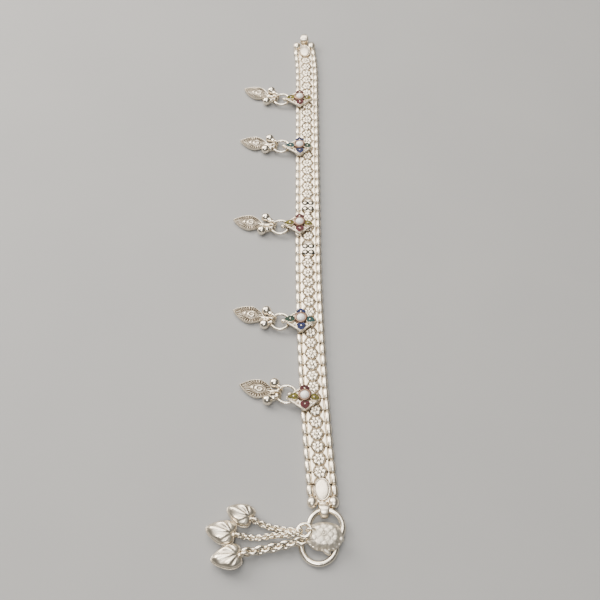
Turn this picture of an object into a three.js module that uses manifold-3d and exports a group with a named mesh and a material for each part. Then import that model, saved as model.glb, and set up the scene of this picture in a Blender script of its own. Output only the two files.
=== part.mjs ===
// Silver payal anklet, unfastened and lying straight: a flexible band of flower-centred links, five
// enamelled settings with leaf-and-ball drops on its left edge, and at the near end an S hook with
// a tassel of three puffed hearts on chains. Millimetres, +Z up; the strip runs along +Y.
import * as THREE from 'three';
import { mergeVertices } from 'three/addons/utils/BufferGeometryUtils.js';
import Module from 'manifold-3d';

const wasm = await Module();
wasm.setup();

// ---------------------------------------------------------------- driving dimensions
const GAP = 0.3; // clearance between neighbouring pieces

const ROWS = 50; // one row: a barrel on each side
const END_ROWS = 2; // rows of an end link
const MIDDLE_JOINT = 25;
const END_PITCH = 3.96; // row to row in the near end link,
const NEAR_PITCH = 4.45; // from there to the middle joint,
const FAR_PITCH = 4.31; // and beyond it
const BAND_WIDTH = 10.16;
const BARREL_TOP = 2.25;
const BARREL_SLOPE = 0.35; // the barrel's shoulders, outside
const BARREL_FOOT = 0.15;
const BARREL_TAPER = 0.25; // how far a row's ends are drawn in
const WEDGE = { middle: 1.5, end: 2.5 }; // inner edge of a row's sides, between and beside flowers
const OVAL_SIDE = { middle: 2.35, end: 2.6 };
const WEB_HALF_WIDTH = 4.3; // the flat back that joins a link's rows
const WEB_TOP = 0.8;
const NEAR_BEND = { start: 103, drift: 4.1 }; // the strip drifts to +X towards its near end
const FAR_BEND = { start: 198, length: 20, drift: -1.2 }; // and to -X at its far end

const FLOWER_RADIUS = 2.0;
const FLOWER_TOP = 2.5;
const FLOWER_SLOPE = 0.45; // how much smaller its crown is than its foot
const FLOWER_FOOT = { width: 1.8, depth: 1, height: 1.2, y: 0.8 };

const END_BALL = { halfWidth: 1.68, halfLength: 2.05, halfHeight: 1.55, x: 3.45, reach: 2.1, z: 1.6 };
const OVAL = { halfWidth: 2.5, halfLength: 3.8, crown: 0.62, bottom: 0.5, top: 3.1, inset: 2.05 };
const YOKE = { width: 8, depth: 3, height: 0.8, y: 0.9, z: 0.6 }; // joins the balls to the rows
const NECK = { width: 3.2, height: 0.8, setback: 0.6, z: 0.6 }; // and the loop to the yoke
const END_LOOP = { outer: 2.0, inner: 1.5, width: 3.7, taper: 0.4, nearReach: 4.9, farReach: 7.0 };

const PLATE = { // four corners about the pearl, its height, and the pearl's place off the middle line
  left: [-6.4, -0.8], right: [5.2, -1.2], near: [0.2, -5.6], far: [0, 4.0],
  bottom: 2.8, top: 3.4, offset: -3.4,
};
const PETALS = [ // centre and half sizes
  { x: -3.9, y: -0.7, halfX: 1.75, halfY: 1.2 }, { x: 3.3, y: -0.9, halfX: 1.4, halfY: 1.2 },
  { x: 0.1, y: -3.6, halfX: 1.4, halfY: 1.5 }, { x: 0, y: 2.6, halfX: 1.3, halfY: 1.1 },
];
const PETAL_TOP = 4.3;
const BEZEL = { outer: 2.3, inner: 1.8, top: 4.4 };
const PEARL = { radius: 1.5, base: 3.75, rise: 1.8 };
const EYELET = { ring: 1.25, wire: 0.34, z: 2.0, bead: 0.8, beadReach: 1.25 };
const RISER = { width: 3.6, depth: 3.8, x: -2.4 };

const ENAMEL_PLATE = { width: 4.7, depth: 5.8, bottom: 0.7, top: 2.1, ahead: 2.1 };
const DOT = { x: 1.12, y: 1.5, foot: 1.0, crown: 0.5, top: 2.6 };
const TAIL = { crown: 0.45, foot: 0.65, top: 2.1, reach: 3.5 };

const JUMP_RING = { ring: 3.3, wire: 0.45, z: 1.78, rise: 0.25 };
const DROP_LOOP = { ring: 1.15, wire: 0.36 };
const BALL_RADIUS = 1.78;
const BALL_COLLAR = 1.15;
const STALK_RADIUS = 0.6;
const LEAF = { length: 12.4, width: 7.4, thickness: 2.2 };
const HEART = { length: 9.4, width: 7.6, thickness: 5, stemRing: 1.3, stemWire: 0.42 };

const HOOK_WIRE = 0.93;
const HOOK_TILT = 0.064; // the hook slopes down from the end loop to the surface
const HOOK_Z = 2.0; // wire height inside the end loop
const CAP = { x: 5.0, y: -13.3, halfLength: 5.1, halfWidth: 4.3, bottom: 1.9, rise: 3.1 };
const TASSEL_EYE = { ring: 1.45, wire: 0.32, arm: 0.45 };

const SILVER = { color: 0xd2ccbf, roughness: 0.38, metalness: 1 };
const PEARL_WHITE = { color: 0xf1ece2, roughness: 0.3, metalness: 0 };
const DARK_ENAMEL = { color: 0xbdb8ac, roughness: 0.35, metalness: 1 };

// Where the five settings sit and how their drops lie. joint: the row joint under the setting;
// shift: how far past that joint; the rest are plan positions (x, y).
const DANGLES = [
  {
    joint: 42, shift: -0.54, ring: [-11.34, 183.5], leafTip: [-28.5, 190.8],
    farBall: [-16.04, 189.1], nearBall: [-18.1, 182.4],
  },
  {
    joint: 35, shift: 0.23, ring: [-11.15, 154.5], leafTip: [-29.0, 158.5],
    farBall: [-16.18, 159.18], nearBall: [-17.9, 152.8],
  },
  {
    joint: 25, shift: 1.08, ring: [-11.09, 110.3], leafTip: [-30.0, 114.4],
    farBall: [-16.86, 115.23], nearBall: [-18.33, 108.6],
  },
  {
    joint: 15, shift: 0.53, ring: [-10.48, 66.0], leafTip: [-28.1, 71.5],
    farBall: [-15.55, 70.75], nearBall: [-16.2, 64.75],
  },
  {
    joint: 8, shift: 0.28, ring: [-7.9, 36.3], leafTip: [-24.5, 40.3],
    farBall: [-12.05, 40.7], nearBall: [-14.39, 34.05],
  },
];

// The S hook's two rings in plan: arcs that end under the cap, but for the lower one's free end.
const HOOK_RINGS = [
  { x: 4.9, y: -10.08, radius: 5.3, from: 200, to: -70, free: false },
  { x: 2.6, y: -15.9, radius: 5.4, from: -188, to: 65, free: true },
];

// Two jump rings beside the cap carry the tassel: centre, ring radius, and slopes towards X and Y.
const TASSEL_RINGS = [
  {
    name: 'tassel_ring_upper', x: -1.85, y: -11.8, z: 3.65, radius: 2.05, wire: 0.6,
    slopeX: 0.2, slopeY: 0,
  },
  {
    name: 'tassel_ring_lower', x: -2.6, y: -14.3, z: 2.4, radius: 1.6, wire: 0.5,
    slopeX: 0, slopeY: -0.4,
  },
];

// The three chains as plain cords on their true routes, and the heart at the end of each.
const CHAINS = [
  {
    name: 'tassel_chain_1', radius: 1.1,
    route: [[-5.0, -11.5, 2.65], [-7.5, -11.2, 1.9], [-9.8, -10.6, 1.3], [-12.4, -10.1, 1.15],
      [-15.3, -9.1, 1.6]],
    heart: { x: -22.3, y: -6.05, turn: 156 },
  },
  {
    name: 'tassel_chain_2', radius: 0.9,
    route: [[-5.2, -13.2, 4.3], [-7.5, -13.3, 3.95], [-10.0, -13.1, 3.0], [-12.6, -13.0, 1.8],
      [-15.0, -13.2, 1.02], [-17.6, -13.3, 1.0], [-20.2, -13.1, 1.6]],
    heart: { x: -28.1, y: -11.8, turn: 168 },
  },
  {
    name: 'tassel_chain_3', radius: 1.5,
    route: [[-5.1, -15.2, 2.3], [-7.5, -15.8, 1.95], [-9.6, -16.2, 1.65], [-12.0, -16.7, 1.53],
      [-14.2, -17.1, 1.53], [-17.8, -17.8, 1.75]],
    heart: { x: -26.0, y: -19.85, turn: 190.7 },
  },
];

// ---------------------------------------------------------------- solids
function toSolid(geometry) {
  const bare = geometry.clone();
  bare.deleteAttribute('normal');
  bare.deleteAttribute('uv');
  const merged = mergeVertices(bare, 1e-4);
  return new wasm.Manifold(new wasm.Mesh({
    numProp: 3,
    vertProperties: new Float32Array(merged.attributes.position.array),
    triVerts: new Uint32Array(merged.index.array),
  }));
}

function toGeometry(solid) {
  const { vertProperties, triVerts } = solid.getMesh();
  const geometry = new THREE.BufferGeometry();
  geometry.setAttribute('position', new THREE.BufferAttribute(vertProperties, 3));
  geometry.setIndex(new THREE.BufferAttribute(triVerts, 1));
  geometry.computeVertexNormals();
  return geometry;
}

function joined(pieces) {
  return toGeometry(pieces.map(toSolid).reduce((whole, piece) => whole.add(piece)));
}

// A closed skin over rings of equal count, turned the right way out whichever way they run.
function loft(rings) {
  const count = rings[0].length;
  const points = rings.flat();
  const faces = [];
  for (let r = 0; r + 1 < rings.length; r++) {
    for (let k = 0; k < count; k++) {
      const a = r * count + k;
      const b = r * count + (k + 1) % count;
      faces.push([a, b, b + count], [a, b + count, a + count]);
    }
  }
  const last = (rings.length - 1) * count;
  for (let k = 1; k + 1 < count; k++) {
    faces.push([0, k + 1, k], [last, last + k, last + k + 1]);
  }
  const cross = new THREE.Vector3();
  const volume = faces.reduce((sum, [a, b, c]) =>
    sum + points[a].dot(cross.crossVectors(points[b], points[c])), 0);
  const outward = volume > 0 ? faces : faces.map(([a, b, c]) => [a, c, b]);
  const geometry = new THREE.BufferGeometry().setFromPoints(points);
  geometry.setIndex(outward.flat());
  geometry.computeVertexNormals();
  return geometry;
}

function box(width, depth, height, x, y, z) {
  return new THREE.BoxGeometry(width, depth, height).translate(x, y, z);
}

function disc(topRadius, footRadius, bottom, top, sides) {
  const height = top - bottom;
  return new THREE.CylinderGeometry(topRadius, footRadius, height, sides)
    .rotateX(Math.PI / 2).translate(0, 0, bottom + height / 2);
}

function rod(from, to, radiusFrom, radiusTo, sides) {
  const along = to.clone().sub(from);
  const turn = new THREE.Quaternion().setFromUnitVectors(
    new THREE.Vector3(0, 1, 0), along.clone().normalize());
  return new THREE.CylinderGeometry(radiusTo, radiusFrom, along.length(), sides)
    .applyQuaternion(turn).translate(...from.clone().add(to).divideScalar(2).toArray());
}

// A round wire ring whose hole looks along the given plan direction.
function standingRing(ring, wire, holeAngle, centre) {
  return new THREE.TorusGeometry(ring, wire, 5, 9).rotateX(Math.PI / 2)
    .rotateZ(holeAngle - Math.PI / 2).translate(...centre.toArray());
}

function tube(points, radius, steps, sides) {
  const section = new THREE.Shape();
  section.absarc(0, 0, radius, 0, Math.PI * 2);
  return new THREE.ExtrudeGeometry(section, {
    steps, curveSegments: sides / 2, extrudePath: new THREE.CatmullRomCurve3(points),
  });
}

// A pillow form along +X from 0 to length; outline lists [place, half width] as shares of its size.
function pillow(outline, length, width, thickness, sides) {
  const rings = outline.map(([place, share]) => {
    const ring = [];
    for (let k = 0; k < sides; k++) {
      const angle = (k / sides) * Math.PI * 2;
      ring.push(new THREE.Vector3(
        place * length,
        Math.cos(angle) * share * width / 2,
        Math.sin(angle) * Math.sqrt(share) * thickness / 2));
    }
    return ring;
  });
  return loft(rings);
}

// ---------------------------------------------------------------- the strip's own line
function jointY(joint) {
  if (joint <= END_ROWS) return joint * END_PITCH;
  const near = Math.min(joint, MIDDLE_JOINT) - END_ROWS;
  const far = Math.max(joint - MIDDLE_JOINT, 0);
  return END_ROWS * END_PITCH + near * NEAR_PITCH + far * FAR_PITCH;
}

function stripX(y) {
  const near = Math.max(0, NEAR_BEND.start - y) / NEAR_BEND.start;
  const far = THREE.MathUtils.clamp((y - FAR_BEND.start) / FAR_BEND.length, 0, 1);
  return NEAR_BEND.drift * near * near + FAR_BEND.drift * far * far;
}

function onStrip(geometry, y) {
  return geometry.translate(stripX(y), y, 0);
}

// ---------------------------------------------------------------- band links
function barrelSection(side, inner, taper) {
  const outer = BAND_WIDTH / 2 - taper;
  const top = BARREL_TOP - taper;
  const profile = [
    [outer - BARREL_SLOPE, BARREL_FOOT], [outer, top / 2], [outer - 2 * BARREL_SLOPE, top - 0.1],
    [outer - 5 * BARREL_SLOPE, top], [inner + 0.2, top - 0.4], [inner, BARREL_FOOT],
  ];
  return profile.map(([x, z]) => [x * side, z]);
}

function barrel(row, side, inner) {
  const middle = (jointY(row) + jointY(row + 1)) / 2;
  const half = (jointY(row + 1) - jointY(row) - GAP) / 2;
  const stations = [
    [-half, inner.end, BARREL_TAPER], [0, inner.middle, 0], [half, inner.end, BARREL_TAPER],
  ];
  return loft(stations.map(([along, edge, taper]) => {
    const y = middle + along;
    return barrelSection(side, edge, taper).map(([x, z]) => new THREE.Vector3(stripX(y) + x, y, z));
  }));
}

function web(first, last) {
  const rings = [];
  for (let joint = first; joint <= last + 1; joint++) {
    const inset = joint === first ? GAP / 2 : joint === last + 1 ? -GAP / 2 : 0;
    const y = jointY(joint) + inset;
    const corners = [[-1, 0], [1, 0], [1, WEB_TOP], [-1, WEB_TOP]];
    rings.push(corners.map(([side, z]) =>
      new THREE.Vector3(stripX(y) + side * WEB_HALF_WIDTH, y, z)));
  }
  return loft(rings);
}

// A flower on a joint between two links stands clear of the far link, on a foot of its own link.
function flower(joint, first, last) {
  const shared = joint === first || joint === last + 1;
  const foot = joint === first ? 1 : -1;
  const bottom = shared ? WEB_TOP + GAP : WEB_TOP - 0.1;
  const pieces = [disc(FLOWER_RADIUS - FLOWER_SLOPE, FLOWER_RADIUS, bottom, FLOWER_TOP, 8)];
  const { width, depth, height, y } = FLOWER_FOOT;
  if (shared) pieces.push(box(width, depth, height, 0, foot * y, WEB_TOP));
  return pieces.map((piece) => onStrip(piece, jointY(joint)));
}

function bandRows(first, last, flowerJoints, inner = WEDGE) {
  const pieces = [web(first, last)];
  for (let row = first; row <= last; row++) {
    pieces.push(barrel(row, -1, inner), barrel(row, 1, inner));
  }
  for (const joint of flowerJoints) pieces.push(...flower(joint, first, last));
  return pieces;
}

// ---------------------------------------------------------------- end links
function endLink(first, outward) {
  const edgeY = jointY(outward < 0 ? first : first + END_ROWS);
  const reach = outward < 0 ? END_LOOP.nearReach : END_LOOP.farReach;
  const loopY = edgeY + outward * reach;
  const oval = disc(OVAL.crown, 1, OVAL.bottom, OVAL.top, 12)
    .scale(OVAL.halfWidth, OVAL.halfLength, 1);
  const balls = [-1, 1].map((side) => new THREE.SphereGeometry(1, 10, 6)
    .scale(END_BALL.halfWidth, END_BALL.halfLength, END_BALL.halfHeight)
    .translate(side * END_BALL.x, outward * END_BALL.reach, END_BALL.z));
  const yoke = box(YOKE.width, YOKE.depth, YOKE.height, 0, outward * YOKE.y, YOKE.z);
  const neckY = outward * (reach / 2 - NECK.setback);
  const neck = box(NECK.width, reach, NECK.height, 0, neckY, NECK.z);
  const pieces = [
    ...bandRows(first, first + END_ROWS - 1, [], OVAL_SIDE),
    onStrip(oval, edgeY - outward * OVAL.inset),
    ...[...balls, yoke, neck].map((piece) => onStrip(piece, edgeY)),
    loopTube(END_LOOP.outer, END_LOOP.width, outward, loopY),
  ];
  const bore = loopTube(END_LOOP.inner, END_LOOP.width + 4, outward, loopY);
  return toGeometry(pieces.map(toSolid).reduce((whole, piece) => whole.add(piece))
    .subtract(toSolid(bore)));
}

// A tube across the strip, narrower on its outer side.
function loopTube(radius, width, outward, y) {
  const cylinder = new THREE.CylinderGeometry(radius, radius, width, 14)
    .rotateZ(Math.PI / 2).translate(0, 0, HOOK_Z);
  const points = cylinder.attributes.position;
  for (let k = 0; k < points.count; k++) {
    const out = (points.getY(k) * outward / END_LOOP.outer + 1) / 2;
    points.setX(k, points.getX(k) * (1 - END_LOOP.taper * out));
  }
  return onStrip(cylinder, y);
}

// ---------------------------------------------------------------- settings
function settingCentre({ joint, shift }) {
  const y = jointY(joint) + shift;
  return new THREE.Vector3(stripX(y) + PLATE.offset, y, 0);
}

// Plan direction of the setting from its jump ring's middle.
function towardSetting(dangle) {
  return settingCentre(dangle).sub(new THREE.Vector3(...dangle.ring, 0)).normalize();
}

// A wire loop about the jump ring's near side, ending in a bead inside the ring.
function eyelet(dangle) {
  const toward = towardSetting(dangle);
  const ring = new THREE.Vector3(...dangle.ring, EYELET.z);
  const centre = ring.clone().addScaledVector(toward, JUMP_RING.ring);
  const bead = ring.clone().addScaledVector(toward, EYELET.beadReach);
  return [
    standingRing(EYELET.ring, EYELET.wire, Math.atan2(toward.y, toward.x) + Math.PI / 2, centre),
    new THREE.SphereGeometry(EYELET.bead, 8, 6).translate(...bead.toArray()),
  ];
}

function plate() {
  const shape = new THREE.Shape();
  shape.moveTo(...PLATE.right).lineTo(...PLATE.far).lineTo(...PLATE.left).lineTo(...PLATE.near)
    .closePath();
  return new THREE.ExtrudeGeometry(shape, { depth: PLATE.top - PLATE.bottom, bevelEnabled: false })
    .translate(0, 0, PLATE.bottom);
}

function petals() {
  return PETALS.map(({ x, y, halfX, halfY }) => disc(0.4, 1, PLATE.top - 0.1, PETAL_TOP, 6)
    .scale(halfX, halfY, 1).translate(x, y, 0));
}

function settingLink(dangle) {
  const { joint } = dangle;
  const centre = settingCentre(dangle);
  const rows = bandRows(joint - 1, joint, [joint]);
  const height = PLATE.bottom + 0.1 - WEB_TOP / 2;
  const riser = box(RISER.width, RISER.depth, height, RISER.x, 0, WEB_TOP / 2 + height / 2);
  const bezel = disc(BEZEL.outer, BEZEL.outer, PLATE.top - 0.1, BEZEL.top, 10);
  const cluster = [plate(), ...petals(), bezel]
    .map((piece) => piece.translate(centre.x, centre.y, 0));
  const cup = disc(BEZEL.inner, BEZEL.inner, PLATE.top, BEZEL.top + 1, 10);
  return toGeometry([...rows, onStrip(riser, jointY(joint)), ...cluster, ...eyelet(dangle)]
    .map(toSolid).reduce((whole, piece) => whole.add(piece))
    .subtract(toSolid(cup.translate(centre.x, centre.y, 0))));
}

function pearl(dangle) {
  const profile = [[0, 0], [0.85, 0], [1, 0.3], [0.75, 0.8], [0, 1]]
    .map(([radius, height]) => new THREE.Vector2(radius * PEARL.radius, height * PEARL.rise));
  const centre = settingCentre(dangle);
  return new THREE.LatheGeometry(profile, 10).rotateX(Math.PI / 2)
    .translate(centre.x, centre.y, PEARL.base);
}

// ---------------------------------------------------------------- four-dot enamel links
function enamelLink(first, flowerJoint) {
  const { width, depth, bottom, top, ahead } = ENAMEL_PLATE;
  const middle = jointY(first + 1) + ahead;
  const pieces = bandRows(first, first + 2, [flowerJoint]);
  const face = box(width, depth, top - bottom, 0, 0, (top + bottom) / 2);
  const tail = disc(TAIL.crown, TAIL.foot, bottom, TAIL.top, 8).translate(0, -TAIL.reach, 0);
  pieces.push(onStrip(face, middle), onStrip(tail, middle));
  for (const x of [-DOT.x, DOT.x]) {
    for (const y of [-DOT.y, DOT.y]) {
      const dome = disc(DOT.crown, DOT.foot, top - 0.1, DOT.top, 8).translate(x, y, 0);
      pieces.push(onStrip(dome, middle));
    }
  }
  return joined(pieces);
}

// ---------------------------------------------------------------- drops
function ringLift(dx) {
  return JUMP_RING.z + JUMP_RING.rise * dx / JUMP_RING.ring;
}

function jumpRing(dangle) {
  const tilt = -Math.atan2(JUMP_RING.rise, JUMP_RING.ring);
  return new THREE.TorusGeometry(JUMP_RING.ring, JUMP_RING.wire, 5, 14)
    .rotateY(tilt).translate(...dangle.ring, JUMP_RING.z);
}

// The place on the jump ring that a drop at target hangs from, and the direction out to it.
function hangPoint(dangle, target) {
  const angle = Math.atan2(target.y - dangle.ring[1], target.x - dangle.ring[0]);
  const dx = Math.cos(angle) * JUMP_RING.ring;
  const place = new THREE.Vector3(
    dangle.ring[0] + dx, dangle.ring[1] + Math.sin(angle) * JUMP_RING.ring, ringLift(dx));
  return { angle, place };
}

function dropLoop({ angle, place }) {
  return standingRing(DROP_LOOP.ring, DROP_LOOP.wire, angle + Math.PI / 2, place);
}

function ballDrop(dangle, [x, y]) {
  const centre = new THREE.Vector3(x, y, BALL_RADIUS);
  const hang = hangPoint(dangle, centre);
  const out = new THREE.Vector3(Math.cos(hang.angle), Math.sin(hang.angle), 0);
  const knob = hang.place.clone().addScaledVector(out, DROP_LOOP.ring);
  const ball = new THREE.SphereGeometry(BALL_RADIUS, 8, 6).rotateX(Math.PI / 2)
    .translate(x, y, BALL_RADIUS);
  return joined([ball, rod(centre, knob, BALL_COLLAR, STALK_RADIUS, 6), dropLoop(hang)]);
}

const LEAF_OUTLINE = [[0, 0.1], [0.14, 0.52], [0.42, 1], [0.66, 0.82], [0.88, 0.36], [1, 0.03]];

function leafDrop(dangle) {
  const tip = new THREE.Vector3(...dangle.leafTip, 0);
  const ring = new THREE.Vector3(...dangle.ring, 0);
  const turn = leafTurn(dangle);
  const base = tip.clone().add(new THREE.Vector3(-LEAF.length, 0, 0)
    .applyAxisAngle(new THREE.Vector3(0, 0, 1), turn));
  const hang = hangPoint(dangle, base);
  const out = base.clone().sub(ring).setZ(0).normalize();
  const knob = hang.place.clone().addScaledVector(out, DROP_LOOP.ring);
  const leaf = pillow(LEAF_OUTLINE, LEAF.length, LEAF.width, LEAF.thickness, 8)
    .rotateZ(turn).translate(base.x, base.y, LEAF.thickness / 2);
  const neck = base.clone().setZ(LEAF.thickness / 2)
    .addScaledVector(tip.clone().sub(base).normalize(), 1);
  return joined([leaf, rod(neck, knob, STALK_RADIUS, STALK_RADIUS, 6), dropLoop(hang)]);
}

function leafTurn({ ring, leafTip }) {
  return Math.atan2(leafTip[1] - ring[1], leafTip[0] - ring[0]);
}

// ---------------------------------------------------------------- clasp hook
function hookHeight(y) {
  const wireY = HOOK_RINGS[0].y + HOOK_RINGS[0].radius;
  return HOOK_Z - (wireY - y) * HOOK_TILT;
}

function hookRing({ x, y, radius, from, to, free }) {
  const points = [];
  const steps = 18;
  const underCap = new THREE.Vector3(CAP.x - 2, CAP.y, CAP.bottom + 0.3);
  if (!free) points.push(underCap);
  for (let k = 0; k <= steps; k++) {
    const angle = THREE.MathUtils.degToRad(from + (to - from) * k / steps);
    const py = y + Math.sin(angle) * radius;
    points.push(new THREE.Vector3(x + Math.cos(angle) * radius, py, hookHeight(py)));
  }
  points.push(underCap);
  return tube(points, HOOK_WIRE, 22, 8);
}

function rosetteCap() {
  const profile = [[0, 0], [0.92, 0], [1, 0.12], [0.93, 0.4], [0.68, 0.78], [0.35, 0.95], [0, 1]]
    .map(([radius, height]) => new THREE.Vector2(radius, height * CAP.rise));
  return new THREE.LatheGeometry(profile, 14).rotateX(Math.PI / 2)
    .scale(CAP.halfLength, CAP.halfWidth, 1).translate(CAP.x, CAP.y, CAP.bottom);
}

// A small wire eye on the cap's edge that holds the upper tassel ring.
function tasselEye() {
  const ring = TASSEL_RINGS[0];
  const centre = new THREE.Vector3(
    ring.x + ring.radius, ring.y, ring.z + ring.radius * ring.slopeX);
  const eye = standingRing(TASSEL_EYE.ring, TASSEL_EYE.wire, Math.PI / 2, centre);
  const root = centre.clone().add(new THREE.Vector3(TASSEL_EYE.ring, 0, 0));
  return [eye, rod(root, new THREE.Vector3(CAP.x - 2, CAP.y, root.z - 0.5),
    TASSEL_EYE.arm, TASSEL_EYE.arm, 6)];
}

function claspHook() {
  return joined([rosetteCap(), ...HOOK_RINGS.map(hookRing), ...tasselEye()]);
}

// ---------------------------------------------------------------- tassel
function tasselRing({ x, y, z, radius, wire, slopeX, slopeY }) {
  return new THREE.TorusGeometry(radius, wire, 6, 12)
    .rotateY(-Math.atan(slopeX)).rotateX(Math.atan(slopeY)).translate(x, y, z);
}

function chain({ route, radius }) {
  return tube(route.map((point) => new THREE.Vector3(...point)), radius, 12, 8);
}

const HEART_OUTLINE = [[0, 0.4], [0.06, 0.75], [0.26, 1], [0.5, 0.92], [0.8, 0.5], [1, 0.06]];

function heart({ x, y, turn }) {
  const body = pillow(HEART_OUTLINE, HEART.length, HEART.width, HEART.thickness, 10)
    .translate(-HEART.length / 2, 0, 0);
  const stem = standingRing(HEART.stemRing, HEART.stemWire, Math.PI / 2,
    new THREE.Vector3(-HEART.length / 2 - HEART.stemRing * 0.7, 0, 0));
  return joined([body, stem]).rotateZ(THREE.MathUtils.degToRad(turn))
    .translate(x, y, HEART.thickness / 2);
}

// ---------------------------------------------------------------- assembly
const anklet = new THREE.Group();

function add(name, geometry, finish = SILVER) {
  const mesh = new THREE.Mesh(geometry, new THREE.MeshStandardMaterial(finish));
  mesh.name = name;
  anklet.add(mesh);
}

function jointsFrom(first, last) {
  return Array.from({ length: last - first + 1 }, (_, k) => first + k);
}

const RUN_STARTS = [2, 9, 16, 29, 36, 43];
RUN_STARTS.forEach((first, k) => {
  add(`band_run_${k + 1}`, joined(bandRows(first, first + 4, jointsFrom(first, first + 5))));
});
add('enamel_link_near', enamelLink(21, 24), DARK_ENAMEL);
add('enamel_link_far', enamelLink(26, 26), DARK_ENAMEL);
add('end_link_near', endLink(0, -1));
add('end_link_far', endLink(ROWS - END_ROWS, 1));

DANGLES.forEach((dangle, k) => {
  const number = k + 1;
  add(`setting_link_${number}`, settingLink(dangle));
  add(`pearl_${number}`, pearl(dangle), PEARL_WHITE);
  add(`jump_ring_${number}`, jumpRing(dangle));
  add(`ball_drop_${number}_far`, ballDrop(dangle, dangle.farBall));
  add(`ball_drop_${number}_near`, ballDrop(dangle, dangle.nearBall));
  add(`leaf_drop_${number}`, leafDrop(dangle));
});

add('clasp_hook', claspHook());
TASSEL_RINGS.forEach((ring) => add(ring.name, tasselRing(ring)));
CHAINS.forEach((strand, k) => {
  add(strand.name, chain(strand));
  add(`heart_${k + 1}`, heart(strand.heart));
});

// The origin is the centre of the whole anklet's footprint, on the surface it lies on.
const bounds = new THREE.Box3().setFromObject(anklet);
const middle = bounds.getCenter(new THREE.Vector3());
anklet.position.set(-middle.x, -middle.y, -bounds.min.z);

export default anklet;
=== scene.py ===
"""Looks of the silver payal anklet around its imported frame.

Shapes are worked out in millimetres in the strip's own frame, as in the CAD source: x = 0 on the
straight part of the middle line, y = 0 at the first row joint, z = 0 on the surface it lies on.
"""
import math

import bmesh
import bpy
import numpy as np
from mathutils import Matrix, Vector


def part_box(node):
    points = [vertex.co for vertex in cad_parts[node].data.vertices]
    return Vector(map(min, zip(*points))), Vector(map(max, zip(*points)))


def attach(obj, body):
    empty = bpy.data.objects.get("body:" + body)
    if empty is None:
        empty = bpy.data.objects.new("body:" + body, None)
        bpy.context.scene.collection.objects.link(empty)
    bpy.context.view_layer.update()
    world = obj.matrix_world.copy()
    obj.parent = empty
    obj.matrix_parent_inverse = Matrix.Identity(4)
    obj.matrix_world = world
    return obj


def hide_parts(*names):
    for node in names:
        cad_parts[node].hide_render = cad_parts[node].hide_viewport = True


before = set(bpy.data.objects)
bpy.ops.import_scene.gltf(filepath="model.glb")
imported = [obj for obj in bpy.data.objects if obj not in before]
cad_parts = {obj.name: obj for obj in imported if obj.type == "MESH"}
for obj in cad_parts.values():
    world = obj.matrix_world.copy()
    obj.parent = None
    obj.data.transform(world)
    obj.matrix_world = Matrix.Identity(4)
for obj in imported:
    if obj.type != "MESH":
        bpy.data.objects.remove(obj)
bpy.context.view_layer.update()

MM = 0.001
TAU = 2 * math.pi

# ---- driving sizes
BAND_HALF = 5.1
ROW_GAP = 0.11
PANEL_TOP = 2.08
BARREL_X = 4.05
BARREL_TOP = 2.38
SHOULDER = 1.1  # where a barrel's round top meets its upright sides
SIDE_FOOT = 0.7  # where its sides turn under
UNDERSIDE = 0.12
GROOVE_X = 3.08
BARREL_INNER = 2.9  # inner edge of the plain barrels beside an oval
WEDGE_X = 1.3
WEB_HALF = 4.4
WEB_TOP = 1.4
NEAR_BEND = {"start": 103, "drift": 4.1}
FAR_BEND = {"start": 198, "length": 20, "drift": -1.2}

FLOWER_RADIUS = 2.17
FLOWER_TOP = 2.5
FLOWER_TURN = 37.0  # degrees from each flower to the next
FOOT = 0.7  # underside of what stands on the row backs

OVAL = {"half_width": 2.45, "half_length": 3.8, "bottom": 0.6, "foot": 2.3, "top": 2.62,
        "inset": 2.05, "line": 0.88}
END_BALL = {"half_width": 1.68, "half_length": 2.05, "half_height": 1.6, "x": 3.45, "reach": 2.1,
            "z": 1.62}
YOKE_HALF = 3.6
YOKE_Z = 0.62
END_LOOP = {"outer": 2.0, "inner": 1.5, "half_width": 1.95, "taper": 0.4, "near_stretch": 1.3}
HOOK_Z = 2.0

PLATE = {"corners": [(5.3, -1.2), (0, 4.0), (-6.5, -0.8), (0.2, -5.7)], "bottom": 2.8, "top": 3.4}
CELL = {"foot": 3.3, "floor": 3.9, "enamel": 4.1, "bead": 4.25}  # heights in a petal
PEARL = {"radius": 1.62, "squash": 0.85, "z": 4.0}
EYELET = {"ring": 1.25, "wire": 0.36, "z": 2.0, "bead": 0.85, "bead_reach": 1.2}
JUMP_RING = {"ring": 3.3, "wire": 0.5, "rise": 0.25, "z": 1.78}
DROP_LOOP = {"ring": 1.15, "wire": 0.4}
BALL_RADIUS = 1.8
LEAF = {"length": 12.4, "width": 7.1, "thickness": 2.2}
HEART = {"length": 9.7, "width": 7.9, "thickness": 5.0, "stem_ring": 1.3, "stem_wire": 0.45}
CAP = {"x": 4.4, "y": -13.3, "half_length": 5.6, "half_width": 4.5, "bottom": 1.9, "rise": 3.1}
HOOK_WIRE = 0.93
HOOK_TILT = 0.064

# ---- places, from the frame
ROWS = 50
END_ROWS = 2
MIDDLE_JOINT = 25
END_PITCH = 3.96
SETTING_JOINTS = {1: 42, 2: 35, 3: 25, 4: 15, 5: 8}
RUN_STARTS = [2, 9, 16, 29, 36, 43]
RUN_MIDDLE = 2.5  # rows from a run's first joint to its middle


def centre_of(node):
    """The middle of a CAD node's box in millimetres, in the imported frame."""
    low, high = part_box(node)
    return np.array((low + high) / 2 / MM)


def pitch_between(first, second):
    """Row to row between two runs of rows, by their numbers."""
    along = centre_of(f"band_run_{second}")[1] - centre_of(f"band_run_{first}")[1]
    return along / (RUN_STARTS[second - 1] - RUN_STARTS[first - 1])


NEAR_PITCH = pitch_between(1, 2)
FAR_PITCH = pitch_between(5, 6)
ORIGIN = np.array([
    centre_of("band_run_5")[0],
    centre_of("band_run_1")[1] - END_ROWS * END_PITCH - RUN_MIDDLE * NEAR_PITCH,
    0.0])


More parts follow.
